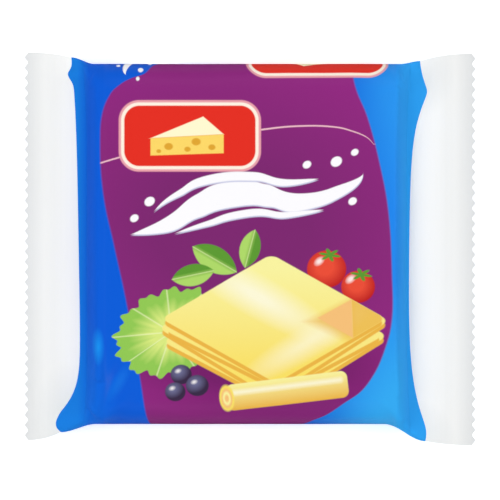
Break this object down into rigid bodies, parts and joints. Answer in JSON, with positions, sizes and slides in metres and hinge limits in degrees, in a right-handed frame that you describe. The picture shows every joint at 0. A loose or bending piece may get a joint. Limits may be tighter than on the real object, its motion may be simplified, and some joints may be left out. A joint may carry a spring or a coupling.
{
  "type": "pack of sliced cheese",
  "caption": "Flow-wrapped pack of square cheese slices lying print up: glossy printed film drawn tight round the stack, closed at each end by a white crimped fin with a zigzag edge.",
  "frame": {"origin": "under the middle of the pack, on the surface that it lies on", "axes": "+X along the pack from the left fin to the right fin, +Y up the printed front, +Z out of the front"},
  "size_m": [0.115, 0.1003, 0.016],
  "materials": {
    "printed_film": "semi-gloss printed film"
  },
  "bodies": {
    "root": {"pack": "printed_film"}
  },
  "joints": []
}
